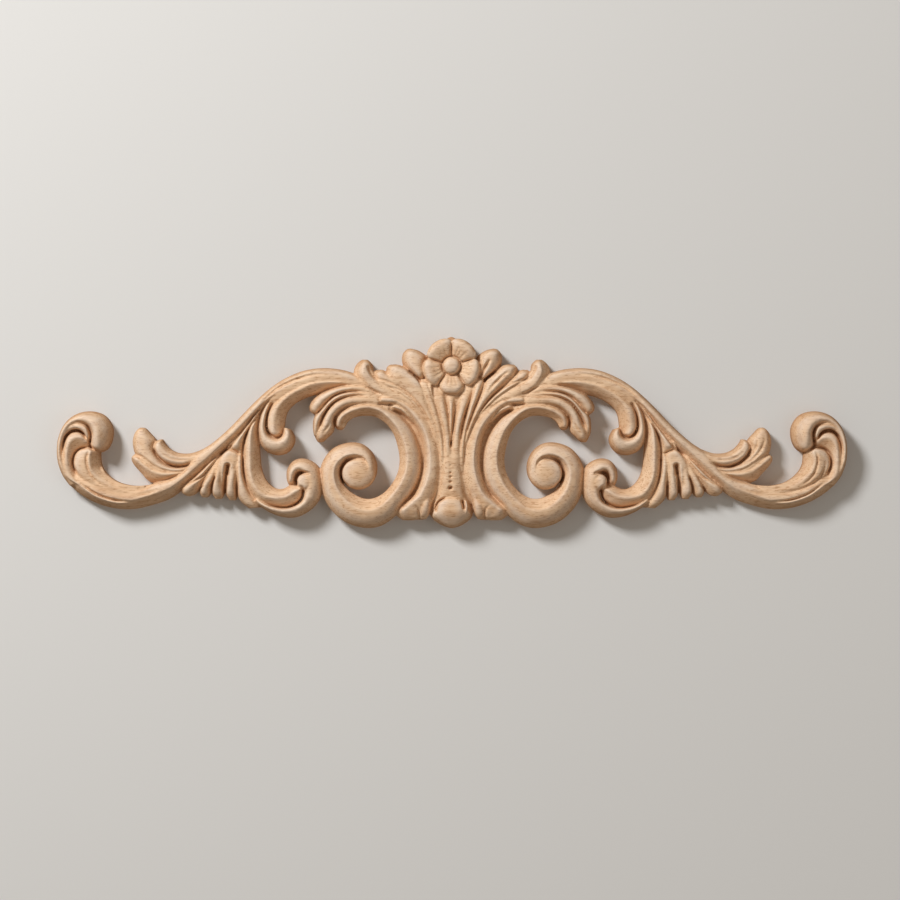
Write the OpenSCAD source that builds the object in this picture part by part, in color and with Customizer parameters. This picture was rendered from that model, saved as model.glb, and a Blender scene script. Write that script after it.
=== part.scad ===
// Carved scroll pediment: a broken-pediment ornament carved from one board of
// pale hardwood, with a flat back. Seen from the front it lies in X and Z.
// The back is the plane y = 0 and the carving rises towards -Y.

/* [Overall] */
// Width over the two end volutes
span = 474.6; // [300:0.1:900]
// Height from the bulb's point to the flower's top
rise = 115; // [80:0.5:200]
// Thickness of the board, from the back to the highest crest
relief = 18; // [10:0.5:30]

/* [Carving] */
// Height of the upright edge left round the outline
edge_h = 5.5; // [3:0.5:8]
// Height of the ground that closes the gaps between leaves
ground_h = 6.5; // [4:0.5:9]
// Height of the bottoms of the grooves between strands
groove_h = 8.5; // [5:0.5:10]

/* [Flower] */
// Number of petals
petals = 5; // [4:1:8]
// Radius from the flower's centre to a petal's middle
petal_ring_r = 9.4; // [7:0.1:12]
// Radius of a petal
petal_r = 7; // [5:0.1:8]
// Radius of the button in the middle
button_r = 5.3; // [3:0.1:7]

/* [Round ends] */
// Radius of the eye in each large scroll
eye_r = 9.4; // [6:0.1:11]
// Radius of the bulb at the foot of the stem
bulb_r = 9; // [6:0.1:11]
// Radius of the bead that ends each hooked scroll
bead_r = 5; // [3:0.1:6]

/* [Hidden] */

wood = [0.76, 0.60, 0.47];

// The outline was drawn at this width and height, and follows span and rise.
drawn_span = 474.6;
drawn_rise = 115;
kx = span / drawn_span;
kz = rise / drawn_rise;

// Rings made between two stations of a strand
ring_steps = 2;

// Sections across a strand, from its first edge to its other one: the place
// across, and the share of the way from the edge's height up to the crest's
rounded = [[0, 0], [0.28, 0.92], [0.72, 0.92], [1, 0]];
roof = [[0, 0], [0.5, 1], [1, 0]];
roof_near_first = [[0, 0], [0.3, 1], [1, 0]];
roof_near_last = [[0, 0], [0.7, 1], [1, 0]];
chamfered_last = [[0, 0], [0.22, 0.78], [0.66, 1], [1, 0]];
fluted = [[0, 0], [0.3, 0.96], [0.56, 0.6], [0.68, 1], [1, 0]];

// Stock left behind the back while carving, planed off flat at the end
stock = 1;

// Flower's centre and the height at which its petals spring
flower_at = [0, 39.5];
petal_foot_h = 8;

// ---- Curves -------------------------------------------------------------

// One point of a smooth curve that passes through b and c
function through(a, b, c, d, t) =
    (2 * b + (c - a) * t + (2 * a - 5 * b + 4 * c - d) * t * t
    + (3 * b - a - 3 * c + d) * t * t * t) / 2;

function clamped(list, i) = list[max(0, min(len(list) - 1, i))];

// Stations filled in by the smooth curve
function smoothed(st, steps) = [
    for (i = [0 : len(st) - 2], s = [0 : steps - 1])
        through(clamped(st, i - 1), st[i], st[i + 1], clamped(st, i + 2), s / steps),
    st[len(st) - 1]
];

// Twice the area that a strand covers, positive where its first edge is on
// the left of the way along it
function way(a, b) = [b[0] + b[2] - a[0] - a[2], b[1] + b[3] - a[1] - a[3]];
function covered(st, i = 0) = i > len(st) - 2 ? 0 :
    way(st[i], st[i + 1])[0] * (st[i][1] - st[i][3])
    - way(st[i], st[i + 1])[1] * (st[i][0] - st[i][2]) + covered(st, i + 1);

// One ring of a strand: the back under one edge, the section, the back again
function ring(s, section, low) = concat(
    [[kx * s[0], stock, kz * s[1]]],
    [for (q = section)
        let (edge = low[0] + (low[1] - low[0]) * q[0])
        [kx * (s[0] + (s[2] - s[0]) * q[0]),
         -edge - max(0.2, relief * s[4] - edge) * q[1],
         kz * (s[1] + (s[3] - s[1]) * q[0])]],
    [[kx * s[2], stock, kz * s[3]]]);

function backwards(list) = [for (i = [len(list) - 1 : -1 : 0]) list[i]];

// A carved strand. Each station is a point [x, z] on one edge, the point
// across from it on the other edge, and the crest's height as a share of the
// relief. low is the height of the first edge and of the other one.
module strand(stations, section = rounded, low = [edge_h, edge_h], steps = ring_steps) {
    st = smoothed(stations, steps);
    turned = covered(st) > 0;
    rings = [for (s = st) turned ? backwards(ring(s, section, low)) : ring(s, section, low)];
    m = len(rings[0]);
    n = len(rings);
    points = [for (r = rings, p = r) p];
    sides = [for (i = [0 : n - 2], j = [0 : m - 1])
        let (k = (j + 1) % m)
        each [[i * m + j, i * m + k, (i + 1) * m + k],
              [i * m + j, (i + 1) * m + k, (i + 1) * m + j]]];
    first = [[for (j = [m - 1 : -1 : 0]) j]];
    last = [[for (j = [0 : m - 1]) (n - 1) * m + j]];
    polyhedron(points, concat(sides, first, last));
}

// ---- Round forms ----------------------------------------------------------

// Steps up a dome: the share of its radius, and of the way from wall to top
full_dome = [[1, 0], [0.82, 0.62], [0.45, 1]];
low_dome = [[1, 0], [0.6, 1]];

// A dome on an upright wall, standing on the plane of the back
module dome(at, r, wall_h, top_h, sides = 12, form = low_dome) {
    hull() for (step = form)
        translate([kx * at[0], stock, kz * at[1]]) rotate([90, 0, 0])
            cylinder(r = r * step[0], h = stock + wall_h + step[1] * (top_h - wall_h), $fn = sides);
}

// A flat stretch of ground inside the points given
module ground(corners, h = ground_h) {
    translate([0, stock, 0]) rotate([90, 0, 0]) linear_extrude(stock + h)
        polygon([for (p = corners) [kx * p[0], kz * p[1]]]);
}

// ---- End volute and the long rail -----------------------------------------

module end_volute() {
    // Ball and the rim that it grows from
    strand([[-213.6, -11.4, -209.6, -11.8, 0.5],
            [-217, -3, -203.5, -2.4, 0.97],
            [-219, 4.2, -212.4, 12, 0.97],
            [-229, 1.8, -229.6, 8, 0.8],
            [-233.8, -8, -237.1, -9, 0.76],
            [-231.6, -20, -236, -20, 0.74]],
           steps = 3);
    ground([[-214, -9], [-215, 4], [-226, 7], [-235, -6], [-235, -22], [-222, -34], [-212, -22]], groove_h);
    // Curled lobe under the rim
    strand([[-218.6, -6.8, -218.4, -2.4, 0.66],
            [-226, -8.6, -227, 0.4, 0.84],
            [-229.8, -16, -233.4, -9.6, 0.8],
            [-226, -26.4, -230.8, -23.4, 0.72]],
           section = roof, low = [groove_h, groove_h]);
    // Broad leaf round the inside of the curl
    strand([[-213, -10.4, -218.6, -7.8, 0.56],
            [-210.6, -15, -227.4, -12.4, 0.78],
            [-208.6, -23.4, -228.2, -21, 0.78],
            [-198, -31, -219.6, -32.8, 0.72]],
           section = roof, low = [edge_h, groove_h]);
}

module long_rail() {
    // Fluted rail from the volute along the foot and up to the flower's side
    strand([[-209.6, -20.6, -236.4, -19, 0.6],
            [-204.6, -27.6, -229.2, -32, 0.72],
            [-194, -32, -211.6, -43.8, 0.72],
            [-181, -31.6, -189, -46.2, 0.7],
            [-169, -25, -169, -39.8, 0.68],
            [-158, -13.4, -152, -27.6, 0.68],
            [-140, -4.2, -135.4, -12.6, 0.7],
            [-120, 16.2, -115.6, 6, 0.74],
            [-100, 32.2, -96, 18, 0.78],
            [-78, 38.2, -77.6, 24, 0.82],
            [-54, 33, -56, 22, 0.82]],
           section = fluted, steps = 3);
}

module end_leaves() {
    // Tall leaf
    strand([[-158, -23.6, -156, -19, 0.64],
            [-176, -24.6, -172, -18.6, 0.68],
            [-187, -17, -178, -11, 0.68],
            [-191.4, -6.4, -178, -5, 0.66],
            [-190, 0, -182.2, 0, 0.58],
            [-187.4, 2.4, -185, 2.4, 0.46]],
           section = roof);
    // Short leaf along the rail's top edge
    strand([[-148, -16, -148, -9.8, 0.66],
            [-160, -20.6, -159, -12.6, 0.68],
            [-172, -18.8, -168.4, -10.6, 0.68],
            [-178.8, -10, -173, -6.4, 0.64],
            [-176.4, -5, -174, -4.8, 0.48]],
           section = roof_near_last);
    // Low leaf, bevelled under
    strand([[-158, -25.6, -157, -21.6, 0.6],
            [-180.6, -30.2, -176, -22.6, 0.62],
            [-186.4, -23.8, -184, -16, 0.6],
            [-192.3, -17, -190.8, -14.2, 0.42]],
           section = roof_near_last);
}

// ---- Arch and the hooked scroll under it -------------------------------------

module arch() {
    // Inner bevel of the arch, rising out of the hooked scroll
    strand([[-109, 1, -103, -2.2, 0.5],
            [-110.6, 7, -101, 3.6, 0.76],
            [-106, 18, -98.6, 12.8, 0.78],
            [-90, 28.6, -84.4, 21.6, 0.8],
            [-63, 30.6, -62, 22.6, 0.76]],
           section = roof_near_first, low = [groove_h, edge_h]);
}

module hooked_scroll() {
    strand([[-106, 18.6, -109.8, 20.4, 0.66],
            [-111.4, 6, -116, 5, 0.72],
            [-109.4, -1, -114.6, -9, 0.78],
            [-102.4, -2.6, -103.6, -14, 0.82],
            [-99.6, 1.6, -94.3, -4, 0.72]],
           section = roof, low = [groove_h, edge_h]);
    // Ground between the hook and the arch
    ground([[-110, 4], [-103, -3], [-103, 2], [-108, 8]], groove_h);
    dome([-99.4, -3.4], bead_r, edge_h, 0.9 * relief, sides = 10, form = full_dome);
}

// ---- Small scroll that closes on the large one -------------------------------

module small_scroll() {
    // Fluted stem of the scroll, down from the rail and round below
    strand([[-112, 12, -113.4, 14, 0.6],
            [-116, 0, -123.2, 0, 0.72],
            [-114.8, -18, -125.3, -19, 0.76],
            [-108, -32.4, -117.6, -41.8, 0.78],
            [-98, -33.6, -99.6, -51.4, 0.78],
            [-91.8, -32.6, -87.6, -48.4, 0.74]],
           section = fluted, steps = 3);
    // Curl
    strand([[-96.6, -41, -96, -51.3, 0.72],
            [-88.4, -37, -81.2, -43.4, 0.84],
            [-88, -30.6, -77.8, -29, 0.88],
            [-89.2, -25.4, -82.4, -18.6, 0.86],
            [-92.4, -25, -92.6, -16.4, 0.8],
            [-93.8, -31, -98.8, -29.6, 0.56]],
           section = roof, low = [groove_h, edge_h]);
    // Bottom of the channel inside the curl
    ground([[-90, -24], [-94, -26], [-94, -31], [-92, -34], [-88, -38], [-86, -32]], groove_h);
    dome([-88.4, -29.6], 4.6, edge_h, 0.9 * relief, sides = 8);
}

// ---- Bud and palmette in the corner under the rail ----------------------------

module palmette() {
    // Bud that hangs from the rail
    strand([[-113, 14.6, -115, 15.6, 0.56],
            [-122.8, -0.6, -126.6, 0.4, 0.66],
            [-126, -10.6, -133.2, -8.8, 0.68],
            [-128, -13.6, -132.4, -12.8, 0.5]],
           section = roof, low = [groove_h, groove_h], steps = 1);
    dome([-131.4, -15.4], 5.4, groove_h, 0.68 * relief, sides = 8);
    ground([[-131, -15], [-157, -33.6], [-139, -37], [-119.5, -42], [-125, -20]]);
    // Lobes, from the rail's side round to the small scroll
    for (lobe = [
        [[-134, -17, -138.6, -14.6, 0.62], [-148, -31.4, -156.4, -29.4, 0.64],
         [-156.6, -39, -162, -36, 0.42]],
        [[-137, -20, -140.4, -19, 0.6], [-144.2, -34, -150.6, -33, 0.58], [-146.4, -39, -150.2, -38.6, 0.4]],
        [[-134.6, -18, -138.4, -17, 0.62], [-136.2, -33, -144, -32, 0.6], [-138.4, -40.2, -142, -40, 0.4]],
        [[-128.6, -15, -133, -16, 0.64], [-128.8, -33, -135.2, -32, 0.6], [-130, -41, -133.6, -40.8, 0.4]],
        [[-125.8, -14, -130, -15, 0.64], [-121, -36, -129, -36, 0.6], [-115.4, -45.6, -121.6, -46, 0.4]],
    ]) strand(lobe, section = roof);
}

// ---- Large scroll and its eye --------------------------------------------------

module large_scroll() {
    // From the hooked tip over the top, down by the stem, round and in
    strand([[-69, 2, -65, 1.6, 0.5],
            [-67.6, 14, -60.6, 7.8, 0.78],
            [-48, 19.5, -46, 9.3, 0.86],
            [-29.4, 8.8, -35.2, -0.8, 0.9],
            [-17.8, -14, -31.6, -17.6, 0.9],
            [-24.4, -38, -38.6, -34.8, 0.9],
            [-47, -57.2, -50.6, -40.2, 0.9],
            [-71.6, -47.4, -66, -31.6, 0.88],
            [-79, -24, -69.8, -22, 0.88],
            [-68, -8.2, -63.6, -15, 0.88],
            [-49.6, -10, -54.6, -18, 0.88],
            [-46, -27, -56, -24.6, 0.86],
            [-53, -33.4, -59, -26, 0.72]],
           section = chamfered_last, steps = 3);
    // Bottom of the channel that winds in beside the eye
    ground([[-57, -14], [-66, -15], [-71, -24], [-69, -32], [-63, -31], [-58, -24]], groove_h);
    dome([-57, -24.4], eye_r, edge_h, 0.94 * relief, sides = 16, form = full_dome);
}

// ---- Leaves that fall over the large scroll -------------------------------------

module scroll_leaves() {
    strand([[-46, 21, -48, 26.4, 0.78],
            [-60, 22.6, -60, 28.2, 0.86],
            [-72, 19.4, -74, 25, 0.86],
            [-79, 12.8, -84.6, 16, 0.76],
            [-81, 10.4, -85, 12.6, 0.5]],
           section = roof);
    strand([[-48, 19.4, -48, 22.4, 0.78],
            [-66, 19, -66, 22.4, 0.86],
            [-76.6, 10.6, -79, 14, 0.84],
            [-80, 4, -83, 7, 0.7]],
           section = roof);
    strand([[-48, 15.4, -48, 20.4, 0.8],
            [-62, 15, -64, 20, 0.86],
            [-70, 7.4, -78, 10.4, 0.82],
            [-71.4, 0.4, -83.2, 2, 0.76],
            [-77.4, -6, -80.2, -6, 0.48]],
           section = roof);
}

// ---- Fan of leaves on each side of the stem --------------------------------------

module fan() {
    ground([[-52, 36], [-26, 40], [0, 36], [0, -12], [-12, -20], [-48, 20]]);
    ground([[-5, -14], [-16, -14], [-28, -48], [-17, -49], [-5, -40]]);
    // Knob and the strand that runs from it down to the foot
    strand([[-50, 43.3, -54, 43.3, 0.5],
            [-46.4, 36, -58.4, 35, 0.9],
            [-37.6, 28, -45.6, 22.6, 0.86],
            [-20.6, 16.8, -26.4, 12, 0.84],
            [-8.4, -4, -15, -6, 0.84],
            [-7.6, -28, -14.6, -28, 0.82],
            [-12.4, -44, -20, -44, 0.72],
            [-15.4, -52.6, -18.4, -52.6, 0.4]],
           section = roof, low = [groove_h, edge_h]);
    // Strand beside the large scroll, ending in a turned foot
    strand([[-34.6, 16.6, -37.4, 14, 0.6],
            [-19.6, 4.4, -23, 1.4, 0.74],
            [-13.4, -20, -17.8, -20, 0.74],
            [-19, -39, -27.4, -39.6, 0.72],
            [-20.8, -51, -33.2, -49, 0.58],
            [-25, -53.6, -30, -52, 0.4]],
           section = roof_near_last);
    // Leaves between the knob and the flower
    for (leaf = [
        [[-42, 37.6, -45.4, 37.2, 0.5], [-38.6, 34.6, -46.8, 33.4, 0.78], [-30, 26.6, -35, 26, 0.76],
         [-19, 15.4, -22, 16.4, 0.7]],
        [[-33.6, 40.6, -37.6, 40.2, 0.5], [-29, 38.4, -39.2, 36, 0.78], [-21, 29.6, -29.6, 27.6, 0.82],
         [-13.6, 15, -19.4, 16, 0.82], [-7.4, -2, -10.6, -1, 0.76]],
        [[-24.6, 50, -27.6, 49.4, 0.48], [-18.4, 47.8, -29.6, 45.4, 0.74], [-14.8, 41, -28.6, 38.6, 0.78],
         [-16, 31.4, -18.8, 31, 0.56]],
        [[-15.4, 32.4, -17.6, 32.3, 0.5], [-11.6, 22, -16.4, 22.4, 0.8], [-4.6, -8, -7, -8, 0.76]],
        [[-5, 30, -14, 30, 0.74], [-2.6, 12, -8.4, 11, 0.82], [0.4, -14, -5.4, -14, 0.8]],
    ]) strand(leaf, section = roof, steps = 1);
}

// ---- Stem, bulb and flower on the centre line --------------------------------------

module stem() {
    // Slip between the two fans under the flower
    strand([[-2.4, 24, 2.4, 24, 0.7], [-0.6, 0, 0.6, 0, 0.66]], section = roof);
    // Stem that spreads into the bulb's cup
    strand([[-5, -8, 5, -8, 0.84],
            [-6.4, -18, 6.4, -18, 0.82],
            [-9.2, -36, 9.2, -36, 0.78],
            [-12.6, -49, 12.6, -49, 0.62],
            [-0.8, -57.8, 0.8, -57.8, 0.36]]);
    dome([0, -47.4], bulb_r, edge_h, 0.96 * relief, sides = 14, form = full_dome);
}

module flower() {
    for (i = [0 : petals - 1]) {
        a = -90 + 360 * i / petals;
        dome(flower_at + petal_ring_r * [cos(a), sin(a)], petal_r, petal_foot_h, 0.9 * relief,
             form = full_dome);
    }
    // Back of the flower, which closes the gaps between petals
    dome(flower_at, petal_ring_r + 2, petal_foot_h, 0.72 * relief);
    // Tip of the sepal that shows over the two top petals
    ground([[-6, 52], [-2, 56.6], [0, 57.2], [2, 56.6], [6, 52]], h = petal_foot_h);
    dome(flower_at, button_r, petal_foot_h, relief, sides = 12, form = full_dome);
}

// ---- The whole carving ----------------------------------------------------------------

module half() {
    end_volute();
    long_rail();
    end_leaves();
    arch();
    hooked_scroll();
    small_scroll();
    palmette();
    large_scroll();
    scroll_leaves();
    fan();
}

module scroll_pediment() {
    color(wood) difference() {
        union() {
            half();
            mirror([1, 0, 0]) half();
            stem();
            flower();
        }
        translate([-span, 0, -rise]) cube([2 * span, 2 * stock, 2 * rise]);
    }
}

scroll_pediment();
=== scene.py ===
import bpy
import math
import numpy as np
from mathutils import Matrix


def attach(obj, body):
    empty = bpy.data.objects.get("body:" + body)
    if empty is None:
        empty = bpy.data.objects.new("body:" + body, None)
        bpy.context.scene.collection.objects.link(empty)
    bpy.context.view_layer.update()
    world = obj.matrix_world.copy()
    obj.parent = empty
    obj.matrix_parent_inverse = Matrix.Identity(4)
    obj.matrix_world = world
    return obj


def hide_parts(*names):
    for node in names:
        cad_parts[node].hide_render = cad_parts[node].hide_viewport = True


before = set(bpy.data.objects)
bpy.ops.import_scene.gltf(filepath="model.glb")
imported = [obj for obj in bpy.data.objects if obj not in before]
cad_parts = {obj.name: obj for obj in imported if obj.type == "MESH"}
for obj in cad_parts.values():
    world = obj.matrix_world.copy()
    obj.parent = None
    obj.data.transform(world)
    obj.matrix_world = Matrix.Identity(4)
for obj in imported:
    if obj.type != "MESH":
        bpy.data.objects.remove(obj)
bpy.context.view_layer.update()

mm = 0.001
bpy.ops.object.select_all(action="DESELECT")

# ---- Camera ------------------------------------------------------------------------------
# The carving is looked at square on, from about two metres, through a long lens.
field = 540 * mm
eye_distance = 2.03
lens = 135
sight_x, sight_z = -1.2 * mm, -10.8 * mm
front_plane = -8 * mm
bpy.ops.object.camera_add(location=(sight_x, front_plane - eye_distance, sight_z),
                          rotation=(math.radians(90), 0, 0))
camera = bpy.context.object
camera.data.lens = lens
camera.data.sensor_width = lens * field / eye_distance
bpy.context.scene.camera = camera

# ---- End volutes -------------------------------------------------------------------------
# Each end curls over into a blunt ball, with a tongue, a thin lobe and a broad leaf lying
# side by side inside the curl. Each is a strand: a band of the board left standing
# between two edges, swelled to a crest and carried down to the flat back. All places,
# heights and widths of strands and cuts are in millimetres, with heights above the back.
edge_h = 8.0        # height of the upright edge left round the outline
groove_h = 9.5      # height of the bottoms of the grooves between strands
chamfer_h = 11.0    # height of the upright edge under the large scrolls' chamfer
row_gap = 1.4       # spacing of a strand's rows along it
column_gap = 0.8    # spacing of its columns across it
least_rise = 0.5    # how far a crest always stands above its edges
left, right = -1, 1
both = (left, right)
strands = []
cuts = []


def through(a, b, c, d, t):
    """One point of a smooth curve that passes through b and c."""
    return (2 * b + (c - a) * t + (2 * a - 5 * b + 4 * c - d) * t * t
            + (3 * b - a - 3 * c + d) * t ** 3) / 2


def smooth_rows(stations, gap):
    """Rows about gap apart on the smooth curve through the stations."""
    p = np.array(stations, float)
    p = np.vstack([p[:1], p, p[-1:]])
    rows = []
    for i in range(1, len(p) - 2):
        step = p[i + 1] - p[i]
        far = max(math.hypot(step[k], step[k + 1]) for k in range(0, min(len(step), 4), 2))
        n = max(1, round(far / gap))
        rows += [through(p[i - 1], p[i], p[i + 1], p[i + 2], k / n) for k in range(n)]
    return np.array(rows + [p[-1]])


def stood_on_back():
    """Carries the edge of the selected sheet straight down to the flat back, in edit mode."""
    bpy.ops.mesh.extrude_region_move()
    bpy.ops.transform.resize(value=(1, 0, 1), center_override=(0, 0, 0))


def strand(stations, fall=(2.4, 2.4), low=(edge_h, edge_h), sides=both):
    """Stations: x, z of one edge, x, z of the other, height of the crest, the place of the
    crest across, and the heights of the two edges where they aren't low's. fall shapes the
    two slopes: 1 is straight, 2 is round and 4 is flat with a steep edge. The stations are
    those of the left half. An end that sinks under its neighbour runs into it smoothly."""
    rows = smooth_rows([list(s) + list(low)[len(s) - 6:] for s in stations], row_gap)
    widest = np.hypot(rows[:, 0] - rows[:, 2], rows[:, 1] - rows[:, 3]).max()
    columns = int(np.clip(widest / column_gap, 8, 32))
    u = np.linspace(0, 1, columns + 1)[None, :]
    x = rows[:, 0:1] + (rows[:, 2:3] - rows[:, 0:1]) * u
    z = rows[:, 1:2] + (rows[:, 3:4] - rows[:, 1:2]) * u
    at = np.clip(rows[:, 5:6], 0.05, 0.95)
    first_slope = 1 - (np.clip(at - u, 0, 1) / at) ** fall[0]
    other_slope = 1 - (np.clip(u - at, 0, 1) / (1 - at)) ** fall[1]
    edge = rows[:, 6:7] + (rows[:, 7:8] - rows[:, 6:7]) * u
    edge = np.minimum(edge, rows[:, 4:5] - least_rise)
    top = edge + (rows[:, 4:5] - edge) * np.where(u < at, first_slope, other_slope)
    for side in sides:
        bpy.ops.mesh.primitive_grid_add(x_subdivisions=columns, y_subdivisions=len(rows) - 1)
        sheet = bpy.context.object
        sheet.data.vertices.foreach_set("co", (np.stack([-side * x, -top, z], axis=-1) * mm).ravel())
        bpy.ops.object.mode_set(mode="EDIT")
        bpy.ops.mesh.select_all(action="SELECT")
        stood_on_back()
        bpy.ops.object.mode_set(mode="OBJECT")
        strands.append(sheet)


def ground(stations, height=groove_h, sides=both):
    """A flat stretch of ground between two edges, which closes what would be a hole."""
    strand([list(s) + [height, 0.5] for s in stations], (8, 8), (height - 0.3, height - 0.3), sides)


def cut(points, width, depth, fade=(0.15, 0.35), sides=both):
    """A pass of a V gouge along the points, shallowing towards its two ends."""
    for side in sides:
        cuts.append(([(-side * x, z) for x, z in points], width, depth, fade))


# Ball and rim
strand([[-214.0, -11.4, -209.8, -12.0, 9.0, 0.5],
        [-216.6, -8.8, -206.3, -9.6, 14.2, 0.45],
        [-217.0, -5.0, -203.9, -4.0, 16.4, 0.4],
        [-216.8, -1.0, -203.9, 3.0, 17.1, 0.36],
        [-217.6, 2.4, -208.0, 9.4, 17.0, 0.34, 12.0, edge_h],
        [-219.6, 4.4, -214.5, 12.2, 16.2, 0.36, 13.6, edge_h],
        [-223.0, 5.2, -221.5, 12.0, 15.4, 0.4, 13.8, edge_h],
        [-227.4, 4.0, -228.0, 9.3, 14.8, 0.42, 13.6, edge_h],
        [-231.0, 0.4, -233.2, 4.0, 14.2, 0.45, 13.2, edge_h],
        [-233.0, -5.0, -236.2, -3.0, 13.6, 0.45, 12.4, edge_h],
        [-233.8, -11.0, -237.2, -10.0, 13.2, 0.45, 12.2, edge_h],
        [-232.6, -18.0, -236.6, -18.0, 12.8, 0.45, 12.2, edge_h],
        [-229.4, -25.0, -233.8, -26.0, 11.8, 0.4, 11.4, edge_h],
        [-224.0, -30.6, -229.2, -32.4, 10.4, 0.4, 10.0, edge_h]],
       (2.0, 1.7), (groove_h, edge_h))
# Tongue that the rim turns into
strand([[-231.5, 3.4, -232.6, -0.2, 12.8, 0.45],
        [-225.4, 6.0, -227.2, 1.6, 14.2, 0.45],
        [-220.4, 4.8, -223.2, 1.3, 14.6, 0.45],
        [-217.7, 1.8, -220.4, -0.8, 14.4, 0.45],
        [-216.8, -2.0, -219.0, -3.2, 13.4, 0.45],
        [-217.0, -4.6, -218.2, -5.2, 11.4, 0.45]],
       (2.4, 2.4), (12.8, 12.0))
ground([[-219.0, 1.0, -219.0, 5.0], [-223.0, 2.0, -223.0, 6.4], [-228.0, 1.4, -228.6, 5.0],
        [-231.6, -1.4, -233.4, 0.6], [-233.4, -5.0, -235.0, -4.4]], 12.8)
# Thin lobe
strand([[-217.2, -8.6, -217.6, -4.8, 11.0, 0.5],
        [-220.6, -9.2, -221.0, -1.2, 13.4, 0.66],
        [-224.0, -10.6, -225.8, 0.1, 14.0, 0.66],
        [-226.4, -13.4, -230.2, -1.9, 14.0, 0.62],
        [-227.4, -17.4, -232.6, -6.6, 13.8, 0.56],
        [-227.0, -21.4, -234.2, -13.0, 13.4, 0.5],
        [-225.4, -25.0, -234.4, -20.0, 12.9, 0.55],
        [-222.0, -29.0, -232.0, -26.6, 12.7, 0.6],
        [-218.6, -32.0, -226.0, -30.8, 12.6, 0.7, groove_h, 9.0],
        [-213.0, -34.4, -218.4, -34.8, 12.0, 0.7, groove_h, 9.5]],
       (1.1, 2.2), (groove_h, groove_h + 1))
# Broad leaf, bevelled down to the inside of the curl
strand([[-212.8, -10.8, -217.6, -9.0, 10.0, 0.5],
        [-211.2, -12.4, -222.4, -9.8, 13.4, 0.43],
        [-211.0, -15.4, -225.9, -12.6, 14.2, 0.4],
        [-210.7, -18.6, -227.4, -17.2, 14.3, 0.38],
        [-209.5, -21.8, -227.2, -21.8, 14.1, 0.38],
        [-207.2, -25.0, -224.6, -27.0, 13.7, 0.36, 8.0, groove_h],
        [-203.2, -28.4, -218.6, -32.4, 13.3, 0.36, 10.5, groove_h],
        [-198.0, -30.9, -209.8, -36.6, 13.1, 0.4, 12.0, groove_h],
        [-191.0, -32.3, -199.6, -39.0, 12.8, 0.5, 12.0, groove_h],
        [-183.6, -32.0, -188.0, -38.6, 12.0, 0.5, 11.4, groove_h]],
       (1.0, 4.0), (edge_h - 1.4, groove_h))
ground([[-217.0, -8.0, -222.0, 7.0], [-220.0, -13.0, -234.0, 0.0],
        [-220.0, -18.0, -235.0, -12.0], [-216.0, -27.0, -228.0, -30.0]])
cut([(-224.2, 5.8), (-221, 5.4), (-218.4, 3.6), (-217.2, 1), (-216.7, -3), (-217.3, -8),
     (-214.6, -11.4)], 1.3, 2.4, (0.35, 0.1))
cut([(-233.6, -13), (-233, -6.5), (-230.8, -2), (-227.4, 0.9), (-224, 1.0), (-221.2, -0.8),
     (-219.0, -4.4)], 1.2, 2.0, (0.35, 0.1))
cut([(-218.6, -9.6), (-223.2, -10.3), (-226.4, -13.3), (-227.5, -17.4), (-226.9, -21.4), (-224.8, -24.6)],
    1.3, 2.4, (0.1, 0.1))
cut([(-217.4, -11.4), (-218.7, -15), (-218.5, -19.8), (-216.8, -24.8), (-212.8, -29.6), (-206, -33.6)],
    1.1, 1.2, (0.15, 0.5))
cut([(-223.6, -16), (-223.0, -22), (-219.6, -28), (-213, -32.4), (-203, -35.8), (-190, -36.6)], 1.5, 1.1,
    (0.2, 0.5), (right,))

# ---- Long rail and arch ------------------------------------------------------------------
# The rail leaves the volute along the foot, climbs in an S and arches over to the flower.
# Its upper face and its lower bevel meet on one crisp ridge, and the arch is bevelled
# on the inside.
strand([[-210.0, -21.0, -235.9, -20.5, 8.4, 0.8],
        [-206.5, -26.4, -232.6, -28.0, 11.6, 0.78],
        [-201.5, -29.6, -225.4, -35.6, 13.0, 0.75],
        [-196.0, -31.4, -215.0, -42.0, 13.3, 0.75],
        [-189.5, -32.3, -203.0, -45.7, 13.3, 0.71],
        [-182.6, -31.8, -191.0, -46.2, 13.1, 0.55],
        [-176.0, -30.2, -180.0, -43.8, 13.0, 0.47],
        [-168.5, -27.4, -169.0, -39.8, 13.3, 0.45],
        [-160.8, -22.4, -159.0, -32.6, 13.6, 0.43],
        [-155.0, -14.6, -151.0, -27.4, 13.7, 0.46],
        [-149.6, -10.4, -143.8, -20.4, 13.7, 0.47],
        [-143.2, -6.2, -137.0, -12.8, 13.7, 0.45],
        [-133.6, 2.2, -127.6, -4.0, 13.7, 0.45],
        [-123.4, 12.8, -117.6, 7.2, 13.7, 0.47],
        [-116.2, 20.0, -111.0, 14.6, 13.7, 0.5],
        [-108.6, 26.6, -103.6, 19.6, 13.6, 0.52],
        [-99.8, 32.3, -95.0, 23.4, 13.9, 0.5],
        [-89.0, 36.7, -86.0, 27.0, 14.3, 0.45],
        [-78.0, 38.3, -76.8, 28.6, 14.6, 0.45],
        [-67.0, 37.5, -66.6, 28.4, 14.6, 0.45],
        [-58.0, 35.0, -58.0, 26.0, 14.4, 0.45],
        [-49.0, 32.0, -50.0, 24.0, 14.2, 0.45],
        [-42.0, 28.6, -44.0, 21.4, 13.2, 0.45]],
       (3.6, 1.0), (edge_h + 1, edge_h - 2))
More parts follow.
